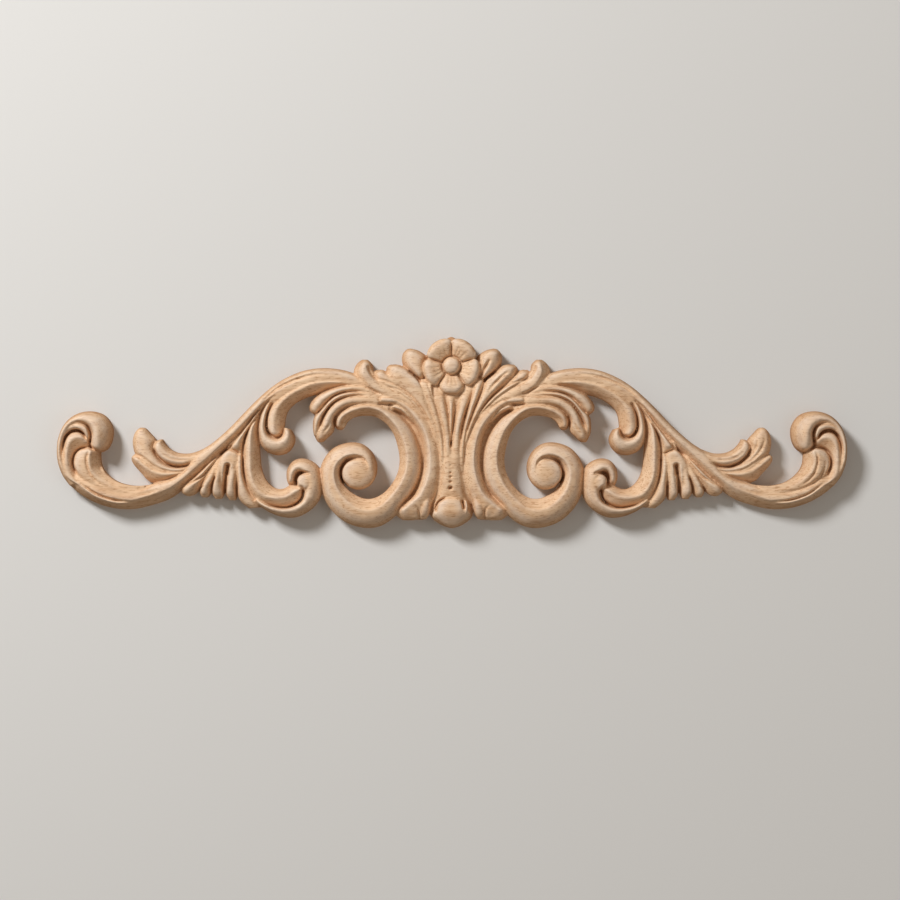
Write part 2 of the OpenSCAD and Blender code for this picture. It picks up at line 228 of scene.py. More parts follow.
# Upper face of the arch, flat as far as its inner ridge
strand([[-112.0, 22.4, -108.0, 17.0, 12.4, 0.5],
        [-105.0, 28.6, -100.0, 20.6, 13.7, 0.5],
        [-97.0, 33.2, -93.0, 24.6, 14.1, 0.5],
        [-88.0, 36.6, -85.4, 27.6, 14.4, 0.5],
        [-78.0, 37.9, -76.8, 28.8, 14.7, 0.5],
        [-67.0, 37.0, -66.6, 28.6, 14.7, 0.5],
        [-57.0, 34.2, -57.4, 26.0, 14.6, 0.5],
        [-48.0, 31.4, -49.0, 23.6, 14.4, 0.5],
        [-41.0, 27.6, -43.0, 20.8, 13.2, 0.5]],
       (2.6, 5.0), (groove_h, groove_h + 3))
# Inner bevel of the arch, which ends in a rounded lip
strand([[-107.2, -3.0, -103.6, -2.8, 11.0, 0.5],
        [-109.6, -0.8, -101.6, -1.0, 13.0, 0.45, groove_h + 1, groove_h + 1],
        [-110.6, 2.0, -100.8, 1.0, 13.6, 0.42],
        [-111.0, 5.6, -100.4, 4.2, 13.6, 0.42],
        [-110.6, 10.0, -99.9, 8.2, 14.0, 0.42],
        [-108.8, 14.8, -98.6, 12.2, 14.1, 0.4],
        [-105.4, 19.4, -95.6, 15.8, 14.2, 0.38],
        [-100.4, 23.8, -91.0, 19.0, 14.4, 0.36],
        [-93.8, 27.8, -85.0, 21.4, 14.6, 0.34],
        [-86.0, 30.8, -79.0, 22.8, 14.8, 0.3],
        [-77.0, 32.0, -73.0, 24.0, 14.9, 0.28],
        [-67.0, 31.6, -66.0, 24.6, 14.9, 0.28],
        [-57.0, 30.2, -57.0, 23.0, 14.6, 0.28],
        [-47.0, 27.0, -48.0, 21.0, 13.6, 0.28]],
       (2.4, 1.05), (groove_h + 1, edge_h))
cut([(-223, -30.6), (-219, -33.4), (-213, -37.2), (-206, -39.9), (-199, -41.3), (-191, -41.6)], 1.2, 2.6,
    (0.3, 0.3))
cut([(-114, 17.6), (-107, 24.2), (-100, 28.6), (-91, 32.2), (-82, 34.4), (-74, 34.6)], 1.4, 1.4, (0.25, 0.4))
cut([(-190, -37.8), (-182, -36.4), (-175, -33.8)], 1.6, 0.6, (0.4, 0.4))

# ---- Leaves at the outer end of the rail -------------------------------------------------
# Three leaves turn up off the rail like a half-open hand: a tall one, a short one on
# the rail's top edge and a low one that is bevelled underneath.

# Tall leaf
strand([[-152.0, -21.4, -152.0, -18.6, 11.8, 0.5],
        [-160.0, -24.4, -159.6, -20.2, 12.2, 0.5],
        [-168.0, -25.6, -167.0, -20.6, 12.4, 0.5],
        [-176.0, -25.2, -173.0, -17.6, 12.5, 0.5],
        [-184.0, -20.6, -177.4, -12.6, 12.6, 0.5],
        [-189.8, -13.8, -178.4, -8.2, 12.5, 0.5],
        [-191.6, -7.0, -177.6, -5.0, 12.2, 0.5],
        [-190.8, -1.6, -181.2, -0.8, 11.4, 0.5],
        [-188.6, 1.6, -183.8, 2.0, 9.8, 0.5],
        [-186.8, 2.7, -185.2, 2.6, 7.5, 0.5]],
       (2.6, 2.0))
# Short leaf
strand([[-148.0, -17.4, -148.0, -9.6, 12.2, 0.5],
        [-156.0, -19.6, -156.0, -12.6, 12.5, 0.5],
        [-164.0, -20.6, -163.4, -12.7, 12.8, 0.5],
        [-171.0, -18.8, -168.4, -10.8, 13.0, 0.5],
        [-176.2, -15.2, -171.2, -8.4, 12.9, 0.5],
        [-178.8, -10.8, -173.2, -5.7, 12.4, 0.5],
        [-178.6, -7.4, -173.6, -4.6, 11.0, 0.5],
        [-176.6, -4.9, -174.4, -4.3, 8.0, 0.5]],
       (2.6, 1.8), (groove_h, edge_h))
# Low leaf
strand([[-152.0, -22.6, -152.0, -20.4, 11.0, 0.5],
        [-158.0, -25.6, -157.0, -21.4, 11.8, 0.6],
        [-166.0, -29.0, -165.0, -22.6, 12.4, 0.62],
        [-174.0, -30.8, -172.4, -22.6, 12.6, 0.64],
        [-181.6, -29.6, -178.0, -20.4, 12.3, 0.62],
        [-186.6, -24.6, -182.6, -16.4, 11.9, 0.5],
        [-190.6, -20.2, -187.6, -13.4, 11.3, 0.5],
        [-192.3, -17.2, -190.6, -13.4, 9.8, 0.5],
        [-192.5, -15.8, -191.8, -14.4, 8.2, 0.5]],
       (1.0, 2.6), (edge_h - 1, edge_h))
cut([(-190.6, -13.8), (-186, -14.6), (-181, -18.4), (-174, -22.4), (-164, -23.8), (-156, -22)], 1.3, 0.9,
    (0.1, 0.4))
cut([(-178.9, -10.6), (-176.6, -14.6), (-172.6, -18.4), (-167.6, -20.6), (-161, -20.6), (-154, -18.6)],
    1.3, 2.2, (0.05, 0.4))
cut([(-187, -1.4), (-187, -6), (-184, -12), (-178.6, -17.4), (-171, -21)], 1.4, 0.9, (0.3, 0.4), (right,))
cut([(-182.6, -3.6), (-182.6, -8), (-179.4, -13.4), (-174, -17.8)], 1.2, 0.8, (0.3, 0.3), (right,))
cut([(-176, -8.4), (-173, -13), (-167.6, -16), (-159, -16.6), (-150, -14)], 1.2, 0.7, (0.3, 0.4))

# ---- Hooked scroll under the arch --------------------------------------------------------
# A strand runs down beside the arch and hooks round under its lip to a blunt end.
strand([[-105.0, 19.0, -109.6, 21.4, 12.0, 0.5],
        [-108.9, 14.0, -113.0, 15.6, 12.6, 0.45],
        [-111.2, 8.0, -115.4, 8.0, 13.2, 0.42],
        [-111.6, 2.6, -116.3, 0.4, 13.8, 0.4],
        [-109.8, -1.4, -114.9, -7.2, 14.6, 0.38],
        [-106.2, -3.6, -110.8, -12.0, 15.4, 0.36],
        [-103.2, -3.2, -104.6, -14.0, 15.8, 0.36],
        [-101.6, -1.6, -98.6, -12.4, 16.0, 0.36],
        [-100.8, 0.2, -94.8, -7.6, 15.8, 0.36],
        [-100.6, 1.8, -94.4, -2.8, 14.6, 0.38],
        [-100.2, 2.6, -96.6, 1.4, 11.0, 0.5]],
       (1.9, 1.9), (groove_h, edge_h))
ground([[-111.0, 4.0, -104.0, 2.0], [-108.0, -4.6, -100.0, -3.6]], 11.0)
cut([(-107.6, 18), (-110.6, 11), (-111.4, 4.4), (-110.4, 0.6), (-107.6, -2.6), (-104.4, -3.3),
     (-102.3, -1.6), (-101.3, 1)], 1.2, 2.6, (0.25, 0.1))

# ---- Small scroll ------------------------------------------------------------------------
# A ridged stem drops from the rail, turns under and ends as a lobe inside a curl. The
# curl itself springs from the lobe's underside and closes on the large scroll.

# Ridged stem, down to the lobe
strand([[-110.0, 18.4, -111.0, 19.2, 11.2, 0.5],
        [-113.2, 13.0, -116.6, 14.0, 12.2, 0.5],
        [-115.8, 6.5, -121.2, 8.0, 13.0, 0.54],
        [-116.3, 0.0, -123.6, 0.0, 13.6, 0.56],
        [-115.6, -8.0, -125.0, -8.4, 13.9, 0.58],
        [-115.0, -16.0, -125.4, -17.0, 14.0, 0.58],
        [-114.2, -22.5, -125.0, -25.4, 14.1, 0.6],
        [-111.8, -28.6, -122.6, -34.0, 14.1, 0.6],
        [-108.2, -32.6, -117.0, -41.4, 14.1, 0.56],
        [-104.4, -34.2, -109.4, -44.2, 14.1, 0.5],
        [-100.6, -33.8, -101.0, -45.2, 14.2, 0.45],
        [-97.4, -31.9, -94.6, -43.6, 14.2, 0.42],
        [-94.9, -31.2, -90.9, -40.4, 13.9, 0.42],
        [-92.6, -31.6, -89.6, -36.6, 12.9, 0.5],
        [-91.2, -32.6, -89.9, -34.2, 10.6, 0.5]],
       (1.12, 1.35), (edge_h, groove_h))
# Curl, from the lobe's underside
strand([[-116.4, -39.6, -119.0, -42.0, 11.4, 0.3],
        [-112.0, -43.0, -114.6, -45.0, 12.8, 0.3],
        [-107.0, -44.8, -109.4, -48.2, 13.4, 0.28],
        [-100.5, -45.6, -101.6, -51.0, 13.7, 0.25],
        [-94.6, -44.4, -93.0, -51.1, 14.1, 0.25],
        [-90.4, -41.4, -85.0, -46.9, 14.5, 0.28],
        [-88.6, -37.4, -79.8, -41.0, 14.9, 0.3, groove_h + 2, edge_h],
        [-88.0, -33.6, -77.8, -34.0, 15.2, 0.3, groove_h + 4, edge_h],
        [-88.0, -30.0, -77.9, -27.0, 15.3, 0.3, groove_h + 5, edge_h],
        [-88.4, -27.4, -80.2, -20.8, 15.3, 0.34, groove_h + 4, edge_h],
        [-89.4, -25.0, -84.8, -17.2, 15.2, 0.4, groove_h + 3, edge_h],
        [-90.8, -24.0, -90.4, -15.8, 14.9, 0.42],
        [-93.0, -24.4, -95.6, -17.6, 14.5, 0.4],
        [-94.4, -26.6, -98.9, -22.4, 14.1, 0.4],
        [-94.9, -29.2, -99.3, -27.6, 12.9, 0.4],
        [-95.6, -31.2, -98.3, -31.2, 9.4, 0.5]],
       (2.2, 1.6), (groove_h, edge_h))
ground([[-88.0, -22.0, -96.0, -23.0], [-88.0, -28.0, -96.0, -28.0], [-87.0, -37.0, -95.0, -33.0]])


def points_of(mesh):
    """The places of a mesh's points, one row for each."""
    places = np.empty(len(mesh.vertices) * 3)
    mesh.vertices.foreach_get("co", places)
    return places.reshape(-1, 3)


def dome(at, radius, wall_h, top_h, fullness, sides=both):
    """A round boss on an upright wall. A fullness above 2 flattens its top."""
    for side in sides:
        bpy.ops.mesh.primitive_uv_sphere_add(segments=48, ring_count=28,
                                             rotation=(math.radians(90), 0, 0))
        bpy.ops.object.transform_apply(location=False, rotation=True, scale=False)
        boss = bpy.context.object
        place = points_of(boss.data)
        out = np.clip(np.hypot(place[:, 0], place[:, 2]), 0, 1)
        rise = (1 - out ** fullness) ** 0.5
        place[:, 1] = np.where(place[:, 1] < 0, -rise, 0)
        place *= (radius, top_h - wall_h, radius)
        place += (-side * at[0], -wall_h, at[1])
        boss.data.vertices.foreach_set("co", (place * mm).ravel())
        bpy.ops.object.mode_set(mode="EDIT")
        bpy.ops.mesh.select_all(action="SELECT")
        bpy.ops.mesh.bisect(plane_co=(0, -(wall_h + 0.05) * mm, 0), plane_no=(0, 1, 0),
                            clear_outer=True)
        stood_on_back()
        bpy.ops.mesh.edge_face_add()
        bpy.ops.object.mode_set(mode="OBJECT")
        strands.append(boss)


dome((-87.9, -30.0), 5.3, groove_h, 15.8, fullness=2.8)
cut([(-84.6, -25.2), (-87.6, -24.2), (-90.6, -24.4), (-92.9, -26.4), (-93.5, -29.2), (-92.6, -31.4)],
    1.4, 3.4, (0.3, 0.05))
cut([(-111, -43.6), (-105, -45.1), (-99, -45.2), (-93.6, -43.2), (-90.2, -40), (-89, -36.4),
     (-89.6, -33.4), (-91.6, -31.8)], 1.2, 2.6, (0.3, 0.1))

# ---- Bud and palmette --------------------------------------------------------------------
# A small bud hangs from the rail, and a palmette of five rounded lobes spreads from one
# broad head below it, with a deep slot between the third lobe and the fourth.

# Bud and its stalk
strand([[-111.4, 17.0, -112.4, 17.8, 11.0, 0.5],
        [-115.8, 11.6, -117.6, 12.6, 11.6, 0.5],
        [-119.8, 5.6, -122.4, 6.4, 12.2, 0.5],
        [-123.4, -1.0, -127.0, 0.0, 12.8, 0.5],
        [-125.4, -5.6, -131.2, -4.6, 13.4, 0.5],
        [-125.7, -9.2, -133.5, -7.8, 13.2, 0.5],
        [-126.6, -12.2, -133.0, -11.0, 10.8, 0.5]],
       (2.2, 2.2), (groove_h, groove_h))
# Broad head
strand([[-131.2, -10.5, -133.6, -10.5, 10.0, 0.5],
        [-127.8, -12.0, -136.8, -11.7, 12.2, 0.5],
        [-125.9, -15.2, -140.0, -15.0, 12.8, 0.5],
        [-125.6, -20.0, -143.4, -19.4, 13.3, 0.5],
        [-125.0, -25.0, -147.4, -24.0, 12.6, 0.5],
        [-124.0, -30.0, -150.6, -28.6, 11.4, 0.5],
        [-122.0, -35.0, -152.0, -34.0, 9.0, 0.5]],
       (3.4, 3.4))
# Outermost lobe, close under the rail
strand([[-136.0, -14.6, -140.0, -13.4, 10.4, 0.5],
        [-141.0, -21.0, -146.0, -18.6, 12.6, 0.6],
        [-146.4, -28.4, -152.4, -24.8, 13.0, 0.62],
        [-151.4, -34.8, -158.6, -29.9, 12.6, 0.6],
        [-155.4, -38.0, -161.6, -32.5, 11.6, 0.55],
        [-158.8, -38.5, -162.4, -34.6, 9.6, 0.5],
        [-160.6, -37.7, -162.1, -36.3, 8.0, 0.5]],
       (1.3, 2.6))
lobes = [  # the other four, from the outer one in
    [[-138.0, -20.0, -142.0, -19.0, 11.6, 0.5, 11.0, 11.0],
     [-142.0, -27.4, -146.6, -25.8, 12.9, 0.55, 11.2, 11.2],
     [-144.2, -33.4, -150.8, -32.4, 12.6, 0.6],
     [-144.9, -37.2, -151.4, -36.4, 11.2, 0.6],
     [-147.0, -39.3, -149.8, -39.2, 8.4, 0.5]],
    [[-135.4, -17.0, -139.8, -17.0, 11.6, 0.5, 11.0, 11.0],
     [-137.2, -24.0, -141.8, -24.0, 13.1, 0.6, 11.4, 11.6],
     [-137.0, -31.0, -144.0, -30.6, 12.9, 0.62],
     [-136.7, -36.4, -144.3, -35.9, 11.8, 0.6],
     [-138.2, -40.2, -141.9, -40.2, 8.6, 0.5]],
    [[-127.6, -15.0, -132.0, -15.6, 11.6, 0.5, 11.0, 11.0],
     [-128.4, -23.0, -133.2, -23.4, 13.1, 0.55, 11.8, 11.4],
     [-128.6, -31.0, -135.2, -30.6, 12.9, 0.55],
     [-128.8, -37.2, -136.0, -36.4, 11.6, 0.55],
     [-130.0, -41.0, -133.5, -40.9, 8.6, 0.5]],
    [[-125.7, -13.6, -129.4, -14.4, 11.6, 0.5, 10.4, 11.0],
     [-125.0, -21.0, -129.8, -21.6, 13.0, 0.5, 9.6, 11.8],
     [-123.4, -29.0, -129.3, -29.6, 13.0, 0.5],
     [-120.2, -36.0, -128.9, -36.6, 12.6, 0.5],
     [-116.4, -42.0, -126.6, -41.8, 11.4, 0.5],
     [-114.8, -45.2, -121.8, -45.8, 9.2, 0.5]]]
for lobe in lobes:
    strand(lobe, (1.9, 2.6))
ground([[-127.0, -16.0, -137.0, -16.0], [-123.0, -28.0, -149.0, -26.0], [-121.0, -38.0, -157.0, -34.0]], 6.5)
# Deep slot, round at its top
cut([(-134.4, -20.4), (-134.7, -22.0), (-135.2, -25)], 2.3, 5.6, (0, 0))
cut([(-135.0, -23), (-135.8, -28), (-136.2, -33), (-136.3, -39)], 1.7, 4.6, (0, 0.2))
ground([[-124.6, -4.0, -133.0, -6.0], [-124.6, -16.0, -137.0, -15.0]], 11.0)
cut([(-141.8, -26.2), (-143.6, -31), (-144.4, -37.4)], 1.1, 2.4, (0.2, 0.0))
cut([(-148.6, -31.8), (-151.2, -34.2), (-152, -37)], 1.1, 2.2, (0.3, 0.0))
cut([(-129.2, -29), (-129.1, -33), (-129.3, -38.6)], 1.1, 2.0, (0.4, 0.0))
cut([(-112.4, 17.2), (-119, 9.4), (-124, 2.4), (-128.6, -3.6), (-133.4, -9.6), (-138, -13.2),
     (-143.6, -19.6), (-150, -26.6), (-158, -31.6)], 1.1, 2.0, (0.15, 0.1))
cut([(-133.4, -10.2), (-131, -11.2), (-128, -12.6), (-126, -13)], 1.0, 1.4, (0.3, 0.3))
cut([(-112.6, 15), (-118.4, 7), (-123, -1), (-125.2, -8), (-125.5, -16), (-125.2, -24), (-123.4, -31),
     (-120.6, -37.4)], 1.1, 2.4, (0.15, 0.35))

# ---- Large scrolls -----------------------------------------------------------------------
# The heaviest band: from its hooked tip over the top, down beside the stem, round below
# and in to a round eye. Its inner side is a straight chamfer, its outer side rolls over.
strand([[-68.6, 1.3, -66.2, 1.2, 8.0, 0.5],
        [-70.2, 4.0, -64.6, 2.6, 12.0, 0.46],
        [-70.2, 8.6, -62.4, 6.4, 14.4, 0.46],
        [-67.6, 13.2, -58.4, 8.8, 15.4, 0.5],
        [-62.0, 17.6, -52.8, 9.8, 16.0, 0.52],
        [-54.0, 19.8, -47.4, 9.5, 16.3, 0.5],
        [-44.6, 18.6, -42.6, 7.4, 16.4, 0.5],
        [-36.2, 14.2, -38.0, 3.4, 16.4, 0.56],
        [-28.8, 8.8, -34.6, -2.2, 16.4, 0.6],
        [-22.8, 1.4, -32.6, -8.6, 16.4, 0.62],
        [-19.0, -8.0, -31.6, -14.0, 16.4, 0.64],
        [-17.8, -17.0, -31.5, -18.6, 16.4, 0.66],
        [-18.6, -26.0, -32.6, -24.4, 16.4, 0.68],
        [-22.0, -34.4, -36.0, -31.0, 16.4, 0.68],
        [-28.0, -43.0, -40.8, -36.4, 16.4, 0.66],
        [-35.0, -51.4, -46.6, -39.6, 16.4, 0.62],
        [-44.0, -56.8, -52.4, -40.0, 16.4, 0.6],
        [-54.4, -57.3, -57.8, -37.9, 16.4, 0.6],
        [-65.0, -53.4, -62.4, -34.6, 16.3, 0.66],
        [-73.4, -45.6, -65.6, -30.6, 16.2, 0.7],
        [-78.2, -35.8, -66.9, -26.0, 16.1, 0.7],
        [-79.5, -26.0, -66.6, -21.9, 16.0, 0.7],
        [-77.4, -17.2, -64.6, -18.6, 16.0, 0.7],
        [-71.4, -9.8, -61.6, -16.6, 16.0, 0.72],
        [-62.6, -6.4, -58.2, -15.8, 16.0, 0.74],
        [-54.4, -7.0, -55.0, -17.0, 16.0, 0.7],
        [-48.0, -12.0, -53.0, -19.0, 16.0, 0.66],
        [-45.0, -19.4, -52.6, -21.6, 16.0, 0.66],
        [-45.8, -27.0, -54.0, -24.0, 15.8, 0.66],
        [-50.4, -32.6, -57.0, -26.0, 15.4, 0.66],
        [-57.4, -34.2, -59.6, -26.6, 14.6, 0.66]],
       (2.2, 1.0), (edge_h, chamfer_h))
dome((-56.0, -24.3), 10.3, chamfer_h, 16.8, fullness=2.3)
ground([[-58.0, -14.0, -68.0, -15.0], [-58.0, -22.0, -69.0, -24.0],
        [-60.0, -30.0, -68.0, -31.0]], groove_h - 1)
cut([(-56.4, -16.4), (-59.6, -16.2), (-63.0, -17.6), (-65.6, -20.8), (-66.6, -24.8), (-65.6, -29.2),
     (-62, -33)], 1.5, 3.6, (0.25, 0.1))

# ---- Leaves over the large scroll --------------------------------------------------------
# Three overlapping leaves lie over the scroll's shoulder and droop into the opening.

# Upper leaf
strand([[-38.0, 18.6, -39.0, 24.0, 13.0, 0.5, 12.0, 12.0],
        [-46.0, 22.0, -47.0, 27.0, 14.8, 0.5, 13.8, 13.8],
        [-54.0, 23.6, -54.0, 28.6, 15.4, 0.5, 14.2, 13.4],
        [-62.0, 23.8, -62.0, 28.6, 15.8, 0.5, 13.6, 11.0],
        [-69.6, 21.4, -70.6, 27.0, 15.9, 0.5],
        [-75.2, 17.0, -78.4, 23.6, 15.6, 0.5],
        [-78.4, 13.0, -83.6, 19.2, 14.8, 0.5],
        [-80.4, 10.8, -85.6, 15.4, 13.2, 0.5],
        [-82.4, 10.3, -85.2, 12.4, 9.8, 0.5]],
       (2.6, 2.0), (groove_h + 2, edge_h))
# Narrow leaf between
strand([[-38.0, 17.0, -38.0, 20.0, 13.0, 0.5, 12.0, 12.0],
        [-46.0, 20.4, -46.0, 23.2, 14.9, 0.5, 14.2, 14.2],
        [-56.0, 21.4, -56.0, 24.0, 15.7, 0.5, 14.8, 14.8],
        [-65.0, 20.4, -65.4, 23.6, 16.0, 0.5, 14.2, 14.0],
        [-72.0, 16.4, -73.6, 19.8, 15.8, 0.5, 12.6, 12.4],
        [-76.4, 10.6, -79.6, 13.4, 15.2, 0.5],
        [-78.8, 5.2, -82.9, 8.4, 14.4, 0.5],
        [-79.8, 0.6, -83.5, 2.6, 13.0, 0.5],
        [-80.4, -2.6, -82.9, -2.0, 10.6, 0.5]],
       (2.4, 2.4), (groove_h + 2, edge_h))
# Lower leaf
strand([[-38.0, 12.0, -38.0, 18.4, 13.6, 0.5, 12.6, 12.6],
        [-46.0, 15.2, -46.0, 22.0, 15.6, 0.5, 14.2, 14.8],
        [-56.0, 16.2, -56.0, 22.2, 16.4, 0.5, 14.0, 15.0],
        [-62.6, 15.0, -65.0, 21.0, 16.5, 0.5, 12.6, 14.4],
        [-67.8, 11.4, -72.2, 17.0, 16.3, 0.5, 11.0, 12.8],
        [-70.4, 7.4, -77.0, 11.4, 15.9, 0.5],
        [-70.6, 3.4, -79.8, 5.6, 15.3, 0.5],
        [-71.4, -0.2, -82.8, 0.8, 14.3, 0.5],
        [-74.6, -3.4, -82.0, -3.6, 12.4, 0.5],
        [-77.2, -5.9, -80.4, -6.2, 9.0, 0.5]],
       (2.4, 1.8), (groove_h + 1, edge_h))
cut([(-54, 24.0), (-60, 24.2), (-65.6, 23.4), (-70.6, 21.2), (-74.4, 17.8), (-77.8, 13.6), (-80.6, 11.2)],
    1.1, 2.2, (0.4, 0.05))
cut([(-52, 21.8), (-60, 21.7), (-66, 20.1), (-70.8, 17.4), (-75, 12.8), (-78, 7.6), (-79.2, 4)],
    1.1, 2.0, (0.35, 0.2))
cut([(-70, 10.6), (-70.8, 6), (-70.2, 2.6)], 1.1, 2.0, (0.3, 0.05))
cut([(-72.6, 6.6), (-74.4, 3), (-77.6, -1.4)], 1.3, 0.8, (0.3, 0.4))

# ---- Fans beside the stem ----------------------------------------------------------------
# From the stem's foot one broad band rises on each side and turns out to a knob. Leaves
# of different lengths fill the space between it and the flower. The right fan is cut
# deeper than the left one.

# Broad band, from the knob down to the foot
strand([[-50.6, 43.4, -54.0, 43.4, 9.0, 0.5],
        [-47.8, 40.6, -57.6, 40.2, 14.6, 0.5],
        [-46.8, 36.0, -58.6, 34.6, 16.4, 0.55, 11.0, 11.0],
        [-42.8, 31.0, -53.0, 26.8, 16.2, 0.6, 13.4, 14.0],
        [-34.5, 26.6, -44.0, 21.6, 16.0, 0.62, 13.8, 14.4],
        [-25.5, 21.0, -35.6, 16.4, 15.9, 0.64, 13.8, 13.6],
        [-17.5, 13.0, -27.6, 10.2, 15.9, 0.62, 13.8, 10.0],
        [-11.5, 4.0, -21.4, 2.0, 16.0, 0.6, 13.6, 9.0],
        [-8.0, -6.0, -18.3, -7.0, 16.0, 0.6, 13.4, 8.6],
        [-6.8, -17.0, -17.3, -17.0, 16.0, 0.6, 13.2, 8.6],
        [-7.4, -27.0, -18.8, -27.4, 15.8, 0.62, 12.6, 8.6],
        [-9.6, -36.0, -22.8, -37.0, 15.2, 0.66, 11.6, 9.0],
        [-11.8, -42.0, -28.4, -42.4, 14.6, 0.72, 10.6, 9.6],
        [-13.0, -46.6, -33.4, -46.2, 13.8, 0.74, 10.4, 9.6],
        [-14.0, -50.2, -33.0, -50.2, 11.6, 0.6, 9.0, 9.0],
        [-17.0, -52.6, -29.6, -52.8, 8.8, 0.5]],
       (2.6, 1.0))
# Two short leaves that turn out over the scroll
strand([[-22.0, 6.0, -24.0, 4.6, 11.0, 0.4],
        [-27.6, 13.8, -29.6, 9.8, 14.4, 0.4],
        [-33.8, 16.8, -34.8, 12.2, 14.8, 0.4],
        [-37.4, 15.4, -37.2, 13.6, 12.0, 0.5]], (2.4, 1.1))
strand([[-24.0, 18.4, -25.0, 13.0, 14.0, 0.5],
        [-30.6, 21.4, -31.4, 16.0, 15.8, 0.5],
        [-37.0, 22.6, -37.4, 16.6, 16.2, 0.5],
        [-42.2, 22.2, -42.8, 17.0, 15.6, 0.5],
        [-44.8, 18.8, -44.4, 17.2, 12.0, 0.5]], (2.4, 3.2), (groove_h, groove_h + 1))
# Four inner leaves, from the band to the flower; valley is the height between them
for side, valley in ((left, 15.2), (right, 12.2)):
    strand([[-42.4, 37.4, -45.6, 37.2, 9.0, 0.5],
            [-39.8, 36.4, -47.3, 34.4, 14.0, 0.5, groove_h, groove_h],
            [-36.4, 32.6, -44.0, 30.4, 15.6, 0.5],
            [-30.0, 26.6, -36.6, 26.4, 15.9, 0.5],
            [-22.0, 19.0, -27.0, 20.0, 15.8, 0.5],
            [-14.6, 10.0, -17.6, 10.6, 15.4, 0.5],
            [-9.4, 1.0, -11.6, 1.0, 14.6, 0.5],
            [-6.8, -8.0, -8.2, -8.0, 13.0, 0.5]],
           (2.2, 2.2), (valley, valley), (side,))
    strand([[-33.8, 40.6, -37.2, 40.4, 9.0, 0.5],
            [-30.0, 39.6, -39.4, 37.8, 14.2, 0.5, groove_h, groove_h],
            [-26.0, 36.4, -37.0, 32.6, 15.9, 0.5, valley - 2, valley],
            [-20.0, 29.6, -29.6, 26.0, 16.2, 0.5],
            [-15.6, 19.6, -21.6, 18.0, 16.2, 0.5],
            [-11.4, 9.0, -15.4, 8.6, 16.0, 0.5],
            [-7.8, -2.0, -10.8, -2.0, 15.6, 0.5],
            [-6.0, -12.0, -8.2, -12.0, 13.8, 0.5]],
           (2.2, 2.2), (valley, valley), (side,))
    strand([[-15.4, 32.4, -17.6, 32.4, 11.0, 0.5],
            [-12.8, 29.6, -19.0, 29.6, 14.2, 0.5],
            [-12.0, 24.0, -17.4, 23.6, 15.6, 0.5],
            [-9.2, 13.0, -13.2, 13.0, 16.1, 0.5],
            [-6.4, 2.0, -9.6, 2.0, 16.0, 0.5],
            [-5.0, -8.0, -7.6, -8.0, 15.6, 0.5, 14.4, 14.4],
            [-4.6, -16.0, -7.0, -16.0, 15.0, 0.5, 14.2, 14.2],
            [-4.6, -24.0, -7.0, -24.0, 13.6, 0.5, 13.0, 13.0]],
           (2.2, 2.2), (valley, valley), (side,))
    strand([[-4.0, 30.0, -14.6, 31.0, 11.6, 0.5],
            [-4.4, 25.0, -13.4, 26.0, 13.2, 0.5],
            [-3.7, 19.0, -11.2, 19.0, 15.2, 0.5],
            [-2.3, 12.0, -8.8, 12.0, 16.1, 0.5],
            [-0.9, 3.0, -6.4, 3.0, 16.2, 0.5],
            [-0.2, -6.0, -5.2, -6.0, 16.0, 0.5, 14.6, 14.2],
            [0.4, -15.0, -5.0, -15.0, 15.7, 0.5, 15.2, 14.4],
            [0.4, -24.0, -5.0, -24.0, 14.6, 0.5, 14.0, 14.0]],
           (2.2, 2.2), (12.6, valley), (side,))
# Tall leaf beside the flower
strand([[-24.8, 50.1, -27.0, 49.8, 8.0, 0.5],
        [-20.0, 48.8, -29.5, 47.0, 13.0, 0.5],
        [-15.0, 45.2, -30.0, 42.4, 14.6, 0.5],
        [-14.4, 40.6, -28.2, 38.0, 14.8, 0.5],
        [-14.8, 35.6, -23.2, 33.6, 14.2, 0.5],
        [-16.6, 31.6, -19.2, 30.8, 11.0, 0.5]],
       (2.2, 2.2))
# The band's foot ends in a large toe and a small one
strand([[-17.0, -38.0, -22.0, -38.6, 13.4, 0.5],
        [-19.0, -43.0, -29.4, -44.4, 14.2, 0.62],
        [-19.8, -47.0, -33.5, -46.8, 13.9, 0.64],
        [-20.4, -50.4, -32.8, -50.0, 12.0, 0.55],
        [-23.0, -53.0, -29.8, -52.8, 9.4, 0.5]], (2.2, 1.5), (11.4, edge_h))
strand([[-11.0, -38.0, -19.0, -38.0, 13.4, 0.5],
        [-12.4, -44.0, -20.0, -44.0, 14.0, 0.5],
        [-13.4, -48.6, -20.0, -48.6, 12.4, 0.5],
        [-15.4, -52.3, -19.2, -52.3, 9.2, 0.5]], (2.4, 2.4), (groove_h, 11.0))
ground([[-49.0, 34.0, -49.0, 20.0], [-36.0, 37.0, -36.0, 12.0],
        [-24.0, 38.0, -24.0, 2.0], [-10.0, 38.0, -16.0, -20.0],
        [0.5, 38.0, 0.5, -20.0]])
